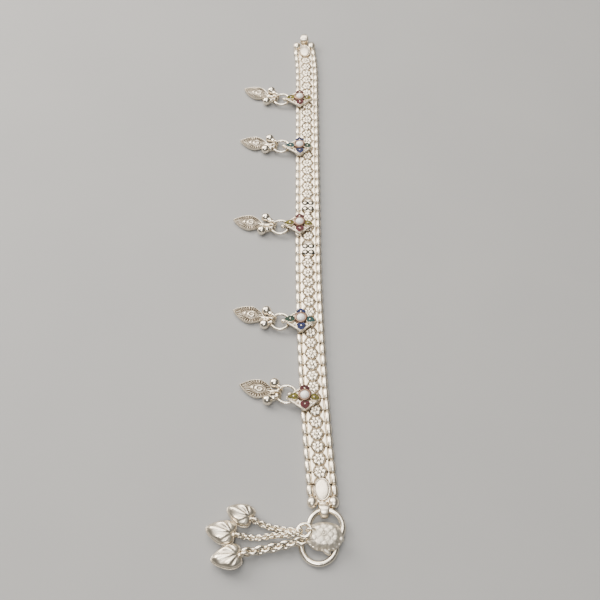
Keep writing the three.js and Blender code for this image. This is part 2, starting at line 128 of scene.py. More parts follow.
def corners_of(node):
    """The lowest and highest corners of a CAD node's box, in the strip's frame."""
    return [np.array(corner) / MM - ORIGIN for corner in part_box(node)]


def place_of(node):
    """The middle of a CAD node's box, in the strip's frame."""
    return centre_of(node) - ORIGIN


def joint_y(joint):
    """Where a row joint lies along the strip."""
    if joint <= END_ROWS:
        return joint * END_PITCH
    near = min(joint, MIDDLE_JOINT) - END_ROWS
    return END_ROWS * END_PITCH + near * NEAR_PITCH + max(joint - MIDDLE_JOINT, 0) * FAR_PITCH


def plan_way(start, end):
    """The direction in plan from one place to another, as a unit vector and in degrees."""
    angle = math.atan2(end[1] - start[1], end[0] - start[0])
    return np.array([math.cos(angle), math.sin(angle), 0]), math.degrees(angle)


def row_middle(row):
    return (joint_y(row) + joint_y(row + 1)) / 2


def strip_x(y):
    """The middle line's sideways drift at y."""
    near = np.maximum(0.0, NEAR_BEND["start"] - y) / NEAR_BEND["start"]
    far = np.clip((y - FAR_BEND["start"]) / FAR_BEND["length"], 0, 1)
    return NEAR_BEND["drift"] * near**2 + FAR_BEND["drift"] * far**2


# ---- curves
def around(count):
    """Even headings round a full turn, in radians."""
    return np.arange(count) / count * TAU


def eased(value, power):
    """A power of a sine or cosine that keeps its sign: below 1 it squares an oval off."""
    return np.sign(value) * np.abs(value) ** power


def oval_points(turn, half_x, half_y, power_x=1.0, power_y=1.0):
    """Points at the headings turn on an oval, which powers below 1 square off."""
    return np.stack([eased(np.cos(turn), power_x) * half_x,
                     eased(np.sin(turn), power_y) * half_y], -1)


def step(low, high, value):
    """A smooth change from 0 at low to 1 at high."""
    t = np.clip((value - low) / (high - low), 0, 1)
    return t * t * (3 - 2 * t)


def bump(distance, radius):
    """A round dome's height over its foot, as a share of 1."""
    return np.sqrt(np.clip(1 - (distance / radius) ** 2, 0, 1))


def line_at(value, place, width):
    """A soft line: 1 where the value is at its place, fading to 0 over a few widths."""
    return np.exp(-((value - place) / width) ** 2)


# ---- forms
class Form:
    """Points in millimetres, faces over them, and each point's darkness from 0 to 1, mostly painted
    shade.
    """

    def __init__(self, points, faces, dark=0.0):
        self.points = np.asarray(points, float)
        self.faces = faces
        self.dark = np.broadcast_to(np.asarray(dark, float), len(self.points)).copy()

    def turned(self, degrees, axis="Z"):
        matrix = np.array(Matrix.Rotation(math.radians(degrees), 3, axis))
        return Form(self.points @ matrix.T, self.faces, self.dark)

    def moved(self, x, y, z=0.0):
        return Form(self.points + (x, y, z), self.faces, self.dark)

    def scaled(self, x, y, z):
        return Form(self.points * (x, y, z), self.faces, self.dark)

    def on_strip(self, y):
        return self.moved(float(strip_x(y)), y)

    def bent(self, y):
        """Moved to y with every point following the strip's bend."""
        points = self.points + (0, y, 0)
        points[:, 0] += strip_x(points[:, 1])
        return Form(points, self.faces, self.dark)


def loft(rings, dark=0.0, closed=False):
    """A closed skin over rings of equal count, with a fan over each end or joined end to end."""
    rings = np.asarray(rings, float)
    count, sides = rings.shape[:2]
    steps = count if closed else count - 1
    here = (np.arange(steps) * sides)[:, None]
    there = ((np.arange(steps) + 1) % count * sides)[:, None]
    side = np.arange(sides)
    after = np.roll(side, -1)
    quads = np.stack([here + side, here + after, there + after, there + side], -1)
    faces = quads.reshape(-1, 4).tolist()
    points = rings.reshape(-1, 3)
    shade = np.broadcast_to(np.asarray(dark, float), (count, sides)).reshape(-1)
    if not closed:
        for ring in (0, count - 1):
            middle = len(points)
            points = np.vstack([points, rings[ring].mean(0)])
            shade = np.append(shade, shade[ring * sides:(ring + 1) * sides].mean())
            start = ring * sides
            fan = [(middle, start + b, start + a) for a, b in zip(side, after)]
            faces += fan if ring == 0 else [face[::-1] for face in fan]
    return Form(points, faces, shade)


def smooth_path(points, count):
    """Count points at even steps along a smooth curve through the given ones."""
    points = np.asarray(points, float)
    p = np.vstack([2 * points[0] - points[1], points, 2 * points[-1] - points[-2]])
    t = np.linspace(0, 1, 16, endpoint=False)[:, None]
    runs = []
    for a, b, c, d in zip(p, p[1:], p[2:], p[3:]):
        runs.append(0.5 * (2 * b + (c - a) * t + (2 * a - 5 * b + 4 * c - d) * t**2
                           + (3 * b - a - 3 * c + d) * t**3))
    fine = np.vstack(runs + [points[-1:]])
    length = np.append(0, np.cumsum(np.linalg.norm(np.diff(fine, axis=0), axis=1)))
    wanted = np.linspace(0, length[-1], count)
    return np.stack([np.interp(wanted, length, fine[:, k]) for k in range(points.shape[1])], -1)


def path_frames(path, closed=False):
    """Unit tangents along a path and two normals carried along without twist."""
    if closed:
        tangents = np.roll(path, -1, 0) - np.roll(path, 1, 0)
    else:
        tangents = np.gradient(path, axis=0)
    tangents /= np.linalg.norm(tangents, axis=1)[:, None]
    up = np.array([0, 0, 1.0]) if abs(tangents[0][2]) < 0.9 else np.array([1.0, 0, 0])
    sides = []
    for tangent in tangents:
        up = up - tangent * (up @ tangent)
        up /= np.linalg.norm(up)
        sides.append(up)
    sides = np.array(sides)
    return tangents, sides, np.cross(tangents, sides)


def tube(path, radius, sides=12, closed=False, dark=0.0):
    """A round wire along a path; radius is one number, or one for each point."""
    path = np.asarray(path, float)
    radius = np.broadcast_to(radius, len(path))[:, None, None]
    _, first, second = path_frames(path, closed)
    angle = around(sides)
    ring = first[:, None] * np.cos(angle)[:, None] + second[:, None] * np.sin(angle)[:, None]
    return loft(path[:, None] + ring * radius, dark, closed)


def rounded_tube(path, radius, sides=12):
    """A wire with a round end on both ends."""
    path = np.asarray(path, float)
    turn = np.radians([80, 55, 30])
    head = path[0] - path[1]
    tail = path[-1] - path[-2]
    head, tail = head / np.linalg.norm(head), tail / np.linalg.norm(tail)
    before = path[0] + np.outer(np.sin(turn), head) * radius
    after = path[-1] + np.outer(np.sin(turn[::-1]), tail) * radius
    radii = np.concatenate([np.cos(turn), np.ones(len(path)), np.cos(turn[::-1])]) * radius
    return tube(np.vstack([before, path, after]), radii, sides)


def arc(radius, start=0.0, end=360.0, steps=48, whole=True):
    """Points of a flat arc round the origin; a whole circle leaves out its repeated end."""
    angle = np.radians(np.linspace(start, end, steps, endpoint=not whole))
    return np.stack([np.cos(angle) * radius, np.sin(angle) * radius, angle * 0], -1)


def ring_form(radius, wire, steps, sides):
    return tube(arc(radius, steps=steps), wire, sides, closed=True)


def standing_ring(radius, wire, hole, centre):
    """A wire ring on edge, whose hole looks along the plan angle hole, in degrees."""
    return ring_form(radius, wire, 36, 10).turned(90, "X").turned(hole - 90).moved(*centre)


def lathe(profile, sides=32, dark=0.0):
    """A body turned round Z from (radius, height) pairs; dark may be one number for each pair."""
    profile = np.asarray(profile, float)
    angle = around(sides)
    rings = np.stack([
        profile[:, :1] * np.cos(angle), profile[:, :1] * np.sin(angle),
        np.broadcast_to(profile[:, 1:2], (len(profile), sides))], -1)
    shade = np.broadcast_to(np.asarray(dark, float), len(profile))[:, None]
    return loft(rings, np.broadcast_to(shade, (len(profile), sides)))


def globe(radius, squash=1.0, sides=24, levels=14):
    turn = np.linspace(math.pi / 2, -math.pi / 2, levels + 2)[1:-1]
    return lathe(np.stack([np.cos(turn) * radius, np.sin(turn) * radius * squash], -1), sides)


def relief(edge, shares, top, bottom, dark=None):
    """A closed body seen from above, from rings at shares of the way out to its outline, edge.

    Its top and bottom are heights, or functions of x, y and the share; dark is one of the upper
    points and the share.
    """
    shares = np.asarray(shares, float)
    xy = edge[None] * shares[:, None, None]
    share = np.broadcast_to(shares[:, None], xy.shape[:2])

    def skin(height):
        z = height(xy[..., 0], xy[..., 1], share) if callable(height) else height + 0 * share
        return np.dstack([xy, z])

    upper, lower = skin(top), skin(bottom)
    shade = np.zeros(share.shape) if dark is None else dark(upper, share)
    return loft(np.concatenate([upper, lower[::-1]]), np.concatenate([shade, shade[::-1]]))


def mirrored_outline(side, middle, size, count):
    """A closed outline, from one side's shares of its length and half width, from base to tip."""
    points = (np.array(side) - (middle, 0)) * (size["length"], size["width"] / 2)
    curve = smooth_path(points, count)
    return np.vstack([curve, curve[-2:0:-1] * (1, -1)])


# ---- materials
class Look:
    """A material in the making: its nodes, its shader and the object's own place in millimetres."""

    def __init__(self, name):
        self.material = bpy.data.materials.new(name)
        self.material.use_nodes = True
        self.tree = self.material.node_tree
        self.shader = self.tree.nodes["Principled BSDF"]
        coordinates = self.node("ShaderNodeTexCoord")
        scaled = self.node("ShaderNodeVectorMath", operation="SCALE", Scale=1 / MM)
        self.feed(scaled.inputs[0], coordinates.outputs["Object"])
        self.place = scaled.outputs[0]

    def node(self, kind, **settings):
        made = self.tree.nodes.new(kind)
        for key, value in settings.items():
            if key in made.inputs:
                made.inputs[key].default_value = value
            else:
                setattr(made, key, value)
        return made

    def feed(self, socket, value):
        """Set a socket to a number or colour, or link another socket into it."""
        if isinstance(value, bpy.types.NodeSocket):
            self.tree.links.new(value, socket)
        else:
            socket.default_value = (*value, 1) if isinstance(value, tuple) else value

    def shade(self, name, value):
        self.feed(self.shader.inputs[name], value)

    def noise(self, scale, detail):
        made = self.node("ShaderNodeTexNoise", Scale=scale, Detail=detail)
        self.feed(made.inputs["Vector"], self.place)
        return made.outputs["Fac"]

    def remap(self, value, low, high, to_low=0.0, to_high=1.0):
        made = self.node("ShaderNodeMapRange")
        for number, setting in enumerate((value, low, high, to_low, to_high)):
            self.feed(made.inputs[number], setting)
        return made.outputs[0]

    def mixed(self, factor, first, second):
        """A colour between first and second, each a colour or a socket."""
        made = self.node("ShaderNodeMix", data_type="RGBA")
        for number, setting in ((0, factor), (6, first), (7, second)):
            self.feed(made.inputs[number], setting)
        return made.outputs[2]

    def combined(self, operation, first, second):
        made = self.node("ShaderNodeMath", operation=operation, use_clamp=True)
        self.feed(made.inputs[0], first)
        self.feed(made.inputs[1], second)
        return made.outputs[0]

    def bumped(self, height, depth):
        made = self.node("ShaderNodeBump", Strength=1.0, Distance=depth * MM)
        self.feed(made.inputs["Height"], height)
        self.shade("Normal", made.outputs[0])


def silver_material(name, light, warm, oxide_and_shade, smooth, rough, grain):
    """Silver with painted shade in its hollows, toned in patches, over a fine grain."""
    look = Look(name)
    look.shade("Metallic", 1.0)
    clean = look.mixed(look.remap(look.noise(0.45, 4), 0.35, 0.65), light, warm)
    # painted shade: an ambient-occlusion mask darkens the hollows
    hollow = look.node("ShaderNodeAmbientOcclusion", samples=8, Distance=0.7 * MM)
    shadow = look.remap(hollow.outputs["AO"], 0.12, 0.5, 0.55, 0.0)
    # each point's mark: mostly painted shade in creases and under parts
    mark = look.node("ShaderNodeAttribute", attribute_name="oxide_and_shade")
    stain = look.remap(look.noise(2.2, 5), 0.55, 0.8, 0.0, 0.16)
    # the darkening mix: painted shade from both, plus random stains
    stain_and_shade = look.combined("MAXIMUM", shadow, mark.outputs["Fac"])
    stain_and_shade = look.combined("ADD", stain_and_shade, stain)
    look.shade("Base Color", look.mixed(stain_and_shade, clean, oxide_and_shade))
    polish = look.remap(look.noise(9.0, 3), 0.3, 0.7, smooth, rough)
    look.shade("Roughness", look.combined("ADD", polish, look.remap(stain_and_shade, 0.0, 1.0, 0.0, 0.25)))
    look.bumped(look.noise(3.0, 6), grain)
    return look.material


def pearl_material():
    look = Look("pearl")
    tone = look.remap(look.noise(0.9, 3), 0.35, 0.65)
    look.shade("Base Color", look.mixed(tone, (1.0, 0.89, 0.84), (0.96, 0.95, 0.92)))
    look.shade("Roughness", 0.2)
    look.shade("Coat Weight", 1.0)
    look.shade("Coat Roughness", 0.08)
    look.bumped(look.noise(1.2, 2), 0.04)
    return look.material


def enamel_material(name, deep, light):
    """Glassy enamel whose colour thins towards the light one in clouds."""
    look = Look(name)
    cloud = look.remap(look.noise(1.1, 4), 0.35, 0.7)
    look.shade("Base Color", look.mixed(cloud, deep, light))
    look.shade("Roughness", look.remap(look.noise(5.0, 3), 0.3, 0.7, 0.12, 0.3))
    look.shade("Specular IOR Level", 0.15)
    look.bumped(look.noise(2.0, 3), 0.05)
    return look.material


def floor_material():
    look = Look("pale_floor")
    colour = look.mixed(look.noise(0.02, 3), (0.29, 0.29, 0.29), (0.32, 0.32, 0.315))
    look.shade("Base Color", colour)
    look.shade("Roughness", 0.75)
    look.bumped(look.noise(1.5, 4), 0.02)
    return look.material


# each finish is a material and the record's slot for it
SATIN = (silver_material("satin_silver", (0.95, 0.86, 0.71), (0.80, 0.71, 0.57),
                         (0.14, 0.11, 0.08), 0.26, 0.38, 0.03), "silver")
BRIGHT = (silver_material("bright_silver", (0.96, 0.88, 0.75), (0.84, 0.76, 0.62),
                          (0.08, 0.06, 0.04), 0.18, 0.28, 0.015), "bright_silver")
CAST = (silver_material("cast_silver", (0.86, 0.80, 0.69), (0.74, 0.68, 0.57),
                        (0.13, 0.10, 0.07), 0.42, 0.56, 0.10), "bright_silver")
COLLAR = (silver_material("browned_silver", (0.30, 0.19, 0.135), (0.18, 0.115, 0.085),
                          (0.05, 0.035, 0.025), 0.35, 0.5, 0.03), "silver")
PEARL_WHITE = (pearl_material(), "pearl")
ENAMEL_COLOURS = {  # deep and light
    "ruby": ((0.020, 0.001, 0.002), (0.09, 0.006, 0.014)),
    "rose": ((0.018, 0.002, 0.003), (0.08, 0.012, 0.016)),
    "olive": ((0.030, 0.026, 0.001), (0.18, 0.15, 0.010)),
    "green": ((0.003, 0.015, 0.009), (0.018, 0.050, 0.028)),
    "teal": ((0.002, 0.018, 0.018), (0.012, 0.060, 0.060)),
    "blue": ((0.002, 0.003, 0.024), (0.008, 0.018, 0.10)),
    "black_green": ((0.003, 0.005, 0.004), (0.009, 0.014, 0.012)),
}
ENAMELS = {name: (enamel_material(f"enamel_{name}", *colours),
                  "dark_enamel" if name == "black_green" else "enamel")
           for name, colours in ENAMEL_COLOURS.items()}


# ---- pieces
SHARP_ANGLE = 48


def add_object(name, data):
    made = bpy.data.objects.new(name, data)
    bpy.context.scene.collection.objects.link(made)
    return made


def piece(name, forms, finish, *nodes):
    """One mesh from forms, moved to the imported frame, standing for the CAD nodes named."""
    material, slot = finish
    points, faces, dark, count = [], [], [], 0
    for form in forms:
        points.append(form.points)
        dark.append(form.dark)
        faces += [tuple(count + k for k in face) for face in form.faces]
        count += len(form.points)
    mesh = bpy.data.meshes.new(name)
    mesh.from_pydata(((np.vstack(points) + ORIGIN) * MM).tolist(), [], faces)
    # each point's darkness, mostly painted shade, goes to the material as an attribute
    oxide_and_shade = mesh.attributes.new("oxide_and_shade", "FLOAT", "POINT")
    oxide_and_shade.data.foreach_set("value", np.concatenate(dark).astype(np.float32))
    work = bmesh.new()
    work.from_mesh(mesh)
    bmesh.ops.recalc_face_normals(work, faces=work.faces)
    work.to_mesh(mesh)
    work.free()
    mesh.polygons.foreach_set("use_smooth", [True] * len(mesh.polygons))
    mesh.set_sharp_from_angle(angle=math.radians(SHARP_ANGLE))
    mesh.materials.append(material)
    made = add_object(name, mesh)
    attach(made, "root")
    if nodes:
        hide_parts(*nodes)


def stand_in(name, forms, finish):
    """A piece that stands for the one CAD node it is named after."""
    piece(f"{name}_look", forms, finish, name)


# ---- band rows
def wedge_edge(v, half):
    """Inner edge of a side piece at v from the row's middle: a blunt wedge between flowers."""
    away = half + ROW_GAP / 2 - np.abs(v)
    reach = FLOWER_RADIUS + 0.07
    beside_flower = np.sqrt(np.clip(reach**2 - away**2, 0, None))
    return np.maximum(WEDGE_X + 0.25 * (v / 1.2) ** 2, beside_flower)


def side_height(u, v, inner, half, plain):
    """Top of a side piece: satin panel, soft groove and barrel; a plain one is all barrel."""
    width = BAND_HALF - inner
    rise = BARREL_TOP - SHOULDER
    if plain:
        top = SHOULDER + rise * bump(u - inner - width / 2, width / 2 + 0.05) ** 0.8
        blend = 1.0
    else:
        barrel = SHOULDER + rise * bump(u - BARREL_X, BAND_HALF - BARREL_X + 0.05)
        panel = PANEL_TOP + 0.15 * bump(u - (inner + GROOVE_X) / 2, (GROOVE_X - inner) / 2 + 0.2)
        rim = 1 - 0.25 * (1 - bump(np.clip(inner + 0.35 - u, 0, 0.35), 0.35))
        blend = step(GROOVE_X - 0.1, GROOVE_X + 0.2, u)
        groove = 0.22 * line_at(u, GROOVE_X, 0.16)
        top = panel * rim * (1 - blend) + barrel * blend - groove
    depth = 0.5 + (half - 0.5) * blend
    end = np.clip((np.abs(v) - (half - depth)) / depth, 0, 1)
    return top - (0.35 + 0.75 * blend) * (1 - np.sqrt(1 - 0.98 * end**2.6))


def side_piece(row, side, inner_edge, plain):
    """One side of a row, lofted along the strip, bulging out at its middle."""
    half = (joint_y(row + 1) - joint_y(row) - ROW_GAP) / 2
    v = half * np.sin(np.linspace(-1, 1, 21) * math.pi / 2)
    outer = BAND_HALF - 0.95 * (1 - np.sqrt(1 - 0.97 * np.abs(v / half) ** 2.2))
    rings, shades = [], []
    for along, last in zip(v, outer):
        inner = float(inner_edge(along, half))
        across = np.concatenate([
            np.linspace(inner, max(inner + 0.05, GROOVE_X - 0.25), 7),
            np.linspace(max(inner + 0.1, GROOVE_X - 0.12), GROOVE_X + 0.2, 4),
            last - (last - GROOVE_X - 0.3) * (1 - np.sin(np.linspace(0, 1, 9) * math.pi / 2))])
        top = side_height(across, along, inner, half, plain)
        across = np.concatenate([across, [last, last - 0.3, inner + 0.1]])
        heights = np.concatenate([top, [SIDE_FOOT, UNDERSIDE, UNDERSIDE]])
        rings.append(np.stack([across * side, np.full(len(across), along), heights], -1))
        # painted shade in the groove, at the row ends, and on the low sides and underside
        in_groove = (not plain) * 0.1 * line_at(across, GROOVE_X, 0.14)
        notch = 0.2 * step(half - 0.2, half, np.abs(along))
        under = 0.6 * (heights < SIDE_FOOT + 0.2)
        shades.append(np.maximum(np.maximum(in_groove, notch), under))
    return loft(rings, np.array(shades)).bent(row_middle(row))


def row_back(row):
    """The row's flat back plate, darkened above with painted shade."""
    bevel, top = 0.12, WEB_TOP
    half = (joint_y(row + 1) - joint_y(row)) / 2 - bevel
    section = [(-half, 0.1), (0.1 - half, 0.02), (half - 0.1, 0.02), (half, 0.1),
               (half, top - bevel), (half - bevel, top), (bevel - half, top), (-half, top - bevel)]
    xs = [-WEB_HALF, bevel - WEB_HALF, WEB_HALF - bevel, WEB_HALF]
    inset = [bevel, 0, 0, bevel]
    rings = [[(x, y * (1 - cut / half), z) for y, z in section] for x, cut in zip(xs, inset)]
    # painted shade over the plate, darkest on its top and lower edges
    shade = np.tile([0.6, 0.15, 0.15, 0.6, 0.65, 0.65, 0.65, 0.65], (4, 1))
    return loft(rings, shade).bent(row_middle(row))


def hinge(joint):
    """The rod under a flower that joins two rows, darkened with painted shade."""
    rod = tube([(x, 0, 0.5) for x in (-1.7, -1.65, 1.65, 1.7)], [0.2, 0.3, 0.3, 0.2], 10, dark=0.6)
    return rod.on_strip(joint_y(joint))


def flower(joint):
    """A bead in a ring of petals on a low dome: seven petals on every third joint, or six."""
    petals, petal_ring = (6, 1.34) if joint % 3 else (7, 1.4)
    turn = around(56)
    reach = FLOWER_RADIUS - 0.1 * (1 - np.abs(np.cos(turn * petals / 2)))
    shares = [0.04, 0.12, 0.2, 0.25, 0.29, 0.34, 0.42, 0.52, 0.62, 0.72, 0.82, 0.89, 0.94, 0.98, 1]

    def top(x, y, share):
        angle, radius = np.arctan2(y, x), np.hypot(x, y)
        nearest = (angle + TAU / petals / 2) % (TAU / petals) - TAU / petals / 2
        away = np.hypot(radius * np.cos(nearest) - petal_ring, radius * np.sin(nearest))
        dome = FLOWER_TOP - 0.45 - 0.15 * share**2 - 0.2 * step(0.95, 1, share)
        return dome + np.maximum(0.45 * bump(away, 0.8), 0.6 * bump(radius, 0.68))

    # painted shade on the low ground between the petals
    def dark(upper, share):
        low = step(FLOWER_TOP - 0.3, FLOWER_TOP - 0.46, upper[..., 2])
        return 0.6 * low * (share < 0.95)

    form = relief(oval_points(turn, reach, reach), shares, top, FOOT, dark)
    return form.turned(joint * FLOWER_TURN).on_strip(joint_y(joint))


def band_rows(first, last, flower_joints, inner_edge=wedge_edge, plain=False):
    """The forms of some rows, with the hinges into them and the flowers on the given joints."""
    forms = []
    for row in range(first, last + 1):
        forms += [side_piece(row, side, inner_edge, plain) for side in (-1, 1)] + [row_back(row)]
        if row > 0:
            forms.append(hinge(row))
    return forms + [flower(joint) for joint in flower_joints]


def make_band_runs():
    for number, first in enumerate(RUN_STARTS, 1):
        forms = band_rows(first, first + 4, range(first, first + 6))
        stand_in(f"band_run_{number}", forms, SATIN)


# ---- end links
def oval_boss(y):
    """The smooth oval of an end link: a low dome in a thin rim, with a dark line between."""
    edge = oval_points(around(64), OVAL["half_width"], OVAL["half_length"])

    def top(x, y, share):
        dome = OVAL["foot"] + (OVAL["top"] - OVAL["foot"]) * bump(share, 0.9) ** 0.9
        rim = 2.32 + 0.12 * bump(share - 0.95, 0.05)
        return np.where(share < OVAL["line"], dome, rim - 0.4 * step(0.985, 1, share))

    def dark(upper, share):
        return 0.8 * line_at(share, OVAL["line"], 0.022)

    shares = [0.04, 0.15, 0.3, 0.45, 0.6, 0.7, 0.78, 0.84, 0.87, 0.885, 0.91, 0.94, 0.97, 0.99, 1]
    return relief(edge, shares, top, OVAL["bottom"], dark).on_strip(y)


def end_link_forms(first, outward, loop_y):
    """Two rows with a smooth oval between narrow barrels, corner balls and a tube loop."""
    edge_y = joint_y(first if outward < 0 else first + END_ROWS)
    oval_y = edge_y - outward * OVAL["inset"]
    forms = [oval_boss(oval_y)]
    for row in range(first, first + END_ROWS):
        middle = row_middle(row)
        plain = abs(middle - edge_y) < END_PITCH

        def beside_oval(v, half, middle=middle, plain=plain):
            if plain:
                return BARREL_INNER
            left = max(0.0, 1 - ((middle + v - oval_y) / (OVAL["half_length"] + 0.2)) ** 2)
            oval = (OVAL["half_width"] + 0.15) * math.sqrt(left)
            return min(max(float(wedge_edge(v, half)), oval), GROOVE_X - 0.3)

        forms += band_rows(row, row, [], beside_oval, plain)
    ball = globe(1).scaled(END_BALL["half_width"], END_BALL["half_length"], END_BALL["half_height"])
    ends = [ball.moved(side * END_BALL["x"], outward * END_BALL["reach"], END_BALL["z"])
            for side in (-1, 1)]
    neck_length = abs(loop_y - edge_y) - 0.8
    neck = [(0, outward * y, YOKE_Z) for y in np.linspace(-0.6, neck_length, 6)]
    ends.append(tube(neck, 0.5).scaled(3.1, 1, 1.05))
    yoke = [(x, outward * 0.9, YOKE_Z) for x in np.linspace(-YOKE_HALF, YOKE_HALF, 6)]
    ends.append(tube(yoke, 0.5).scaled(1, 2.2, 1.05).moved(0, -outward * 1.1))
    return forms + [form.on_strip(edge_y) for form in ends] + [end_loop(loop_y, outward)]


def end_loop(y, outward):
    """A tube lying across the strip, narrower on its outer side and longest on its near one."""
    half, outer, inner = END_LOOP["half_width"], END_LOOP["outer"], END_LOOP["inner"]
    rim = [(inner, half - 0.1), (inner + 0.12, half), (outer - 0.3, half - 0.02),
           (outer - 0.12, half - 0.2), (outer - 0.02, half - 0.6)]
    profile = rim + [(outer, 0)] + [(r, -z) for r, z in reversed(rim)] + [(inner, 0)]
    c, s = np.cos(around(40)), np.sin(around(40))
    narrow = 1 - END_LOOP["taper"] * (1 + outward * c) / 2
    stretch = np.where(c < 0, END_LOOP["near_stretch"], 1.0)
    rings = [np.stack([z * narrow, r * stretch * c, r * s], -1) for r, z in profile]
    return loft(rings, closed=True).moved(0, 0, HOOK_Z).on_strip(y)


def make_end_links():
    for name, first, outward in (("end_link_near", 0, -1), ("end_link_far", ROWS - END_ROWS, 1)):
        low, high = corners_of(name)
        loop_y = low[1] + END_LOOP["outer"] if outward < 0 else high[1] - END_LOOP["outer"]
        stand_in(name, end_link_forms(first, outward, loop_y), SATIN)


# ---- settings
PETAL_COLOURS = {  # left, right, near, far
    1: ("olive", "olive", "ruby", "rose"),
    2: ("teal", "green", "blue", "blue"),
    3: ("olive", "olive", "ruby", "rose"),
    4: ("green", "teal", "blue", "blue"),
    5: ("olive", "olive", "ruby", "ruby"),
}
PETAL_PLACES = (  # x, y, heading, length, width
    (-4.15, -0.6, 187, 4.1, 3.0), (3.55, -0.95, -20, 3.6, 3.1), (0.1, -3.75, -89, 3.5, 4.0),
    (0, 2.7, 92, 2.5, 4.3),
)


def teardrop(length, width, count=40):
    """An outline with its point on +X."""
    turn = around(count)
    return oval_points(turn, length / 2, np.sin(turn / 2) ** 0.8 * width / 2 * 1.12)


def petal_cell(length, width):
    """A raised cell: a thin silver wall round the enamel, and a bright bead in it."""
    def wall(x, y, share):
        return CELL["floor"] + 0.4 * step(0.87, 0.94, share) - 0.3 * step(0.96, 1, share)

    shares = [0.05, 0.5, 0.84, 0.9, 0.93, 0.97, 1]
    cell = relief(teardrop(length, width), shares, wall, CELL["foot"])
    return [cell, globe(0.36).moved(-length * 0.08, 0, CELL["bead"])]


def petal_fill(length, width):
    return relief(teardrop(length * 0.9, width * 0.9), [0.05, 0.3, 0.55, 0.75, 0.9, 1],
                  lambda x, y, share: CELL["enamel"] + 0.1 * bump(share, 1.05), CELL["floor"])


def plate_sides(size, gap, count):
    """Points along the plate's four sides, which stop a share, gap, of a side short of a corner."""
    corners = np.array(PLATE["corners"], float) * size
    share = np.linspace(gap, 1 - gap, count)[:, None]
    return [a * (1 - share) + b * share for a, b in zip(corners, np.roll(corners, -1, 0))]


def setting_base():
    """A four-cornered plate, bright inside a thin dark line, with a bevelled edge."""
    bottom, top = PLATE["bottom"], PLATE["top"]
    return relief(
        np.vstack(plate_sides(1, 0.03, 18)), [0.05, 0.5, 0.74, 0.82, 0.86, 0.95, 1],
        lambda x, y, share: top + 0.1 * step(0.8, 0.86, share) - 0.3 * step(0.93, 1, share),
        lambda x, y, share: bottom + 0.15 * step(0.85, 1, share),
        lambda upper, share: 0.5 * line_at(share, 0.8, 0.04))


def plate_wires():
    """The bright wires along the plate's four straight sides."""
    return [rounded_tube(np.insert(side, 2, PLATE["top"], axis=1), 0.38)
            for side in plate_sides(0.96, 0.05, 6)]


def bezel():
    """A round collar about the pearl, with painted shade at its foot inside and out."""
    profile = [(1.3, 3.4), (1.42, 4.3), (1.62, 4.55), (1.9, 4.6), (2.2, 4.42), (2.4, 4.05),
               (2.48, 3.7), (2.5, 3.5), (2.5, 3.3), (1.3, 3.3)]
    return lathe(profile, 40, [1, 0.7, 0.3, 0, 0, 0.1, 0.5, 0.9, 1, 1])


GRAIN_PLACES = [(2.0, 2.0), (-2.2, 1.9), (-2.3, -2.6), (2.4, -2.9)]  # between the petals


def eyelet(number):
    """A loop under the left point about the jump ring's wire, ending in a bead inside the ring."""
    ring = place_of(f"jump_ring_{number}")
    out, degrees = plan_way(ring, place_of(f"pearl_{number}"))
    centre = ring * (1, 1, 0) + (0, 0, EYELET["z"])
    loop = standing_ring(EYELET["ring"], EYELET["wire"], degrees + 90,
                         centre + out * JUMP_RING["ring"])
    return [loop, globe(EYELET["bead"]).moved(*(centre + out * EYELET["bead_reach"]))]


def make_settings():
    for number, joint in SETTING_JOINTS.items():
        x, y, _ = place_of(f"pearl_{number}")
        silver = band_rows(joint - 1, joint, [joint])
        # the riser under the plate, darkened with painted shade
        riser = lathe([(1.0, 0.6), (1.1, 1.6), (1.5, 2.5), (1.9, 2.85)], 24, 0.7)
        silver.append(riser.moved(x + 1.0, y))
        silver += [form.moved(x, y) for form in [setting_base()] + plate_wires()]
        silver += [globe(0.45).moved(x + px, y + py, 3.65) for px, py in GRAIN_PLACES]
        for px, py, heading, length, width in PETAL_PLACES:
            silver += [form.turned(heading).moved(x + px, y + py)
                       for form in petal_cell(length, width)]
        silver += eyelet(number)
        stand_in(f"setting_link_{number}", silver, SATIN)
        piece(f"setting_{number}_collar", [bezel().moved(x, y)], COLLAR)
        make_petal_fills(number, x, y)
        ball = globe(PEARL["radius"], PEARL["squash"], 40, 24).moved(x, y, PEARL["z"])
        stand_in(f"pearl_{number}", [ball], PEARL_WHITE)


def make_petal_fills(number, x, y):
    """One piece of enamel for each colour of a setting."""
    colours = PETAL_COLOURS[number]
    for colour in sorted(set(colours)):
        forms = [petal_fill(length, width).turned(heading).moved(x + px, y + py)
                 for used, (px, py, heading, length, width) in zip(colours, PETAL_PLACES)
                 if used == colour]
        piece(f"setting_{number}_enamel_{colour}", forms, ENAMELS[colour])


# ---- four-dot enamel links
DOT_PLACES = [(x, y) for x in (-1.15, 1.15) for y in (-1.45, 1.45)]
DOT_PLATE = {"half_width": 2.45, "half_length": 3.05, "top": 2.3, "ahead": 2.1}


def dot_plate():
    """A rounded silver plate, waisted between its two pairs of domes."""
    turn = around(88)
    waist = 1 - 0.16 * line_at(np.sin(turn), 0, 0.25)
    edge = oval_points(turn, DOT_PLATE["half_width"] * waist, DOT_PLATE["half_length"], 0.6, 0.8)
    shares = np.append(np.linspace(0.03, 0.93, 26), [0.96, 0.985, 1])
    return relief(edge, shares, lambda x, y, share: DOT_PLATE["top"] - 0.3 * step(0.95, 1, share),
                  FOOT)


def dot_pool():
    """The round pool of dark enamel about a dome."""
    top = DOT_PLATE["top"]
    profile = [(0.5, top - 0.1), (0.5, top + 0.12), (1.0, top + 0.12), (1.22, top + 0.06),
               (1.26, top - 0.02), (1.26, top - 0.1)]
    return lathe(profile, 36)


def tail_scale():
    """The small round scale on the plate's near side."""
    return relief(oval_points(around(40), 1.25, 1.0), [0.05, 0.3, 0.55, 0.75, 0.84, 0.9, 0.96, 1],
                  lambda x, y, share: 1.85 + 0.35 * bump(share, 0.85) - 0.3 * step(0.95, 1, share),
                  FOOT, lambda upper, share: 0.8 * line_at(share, 0.85, 0.05))


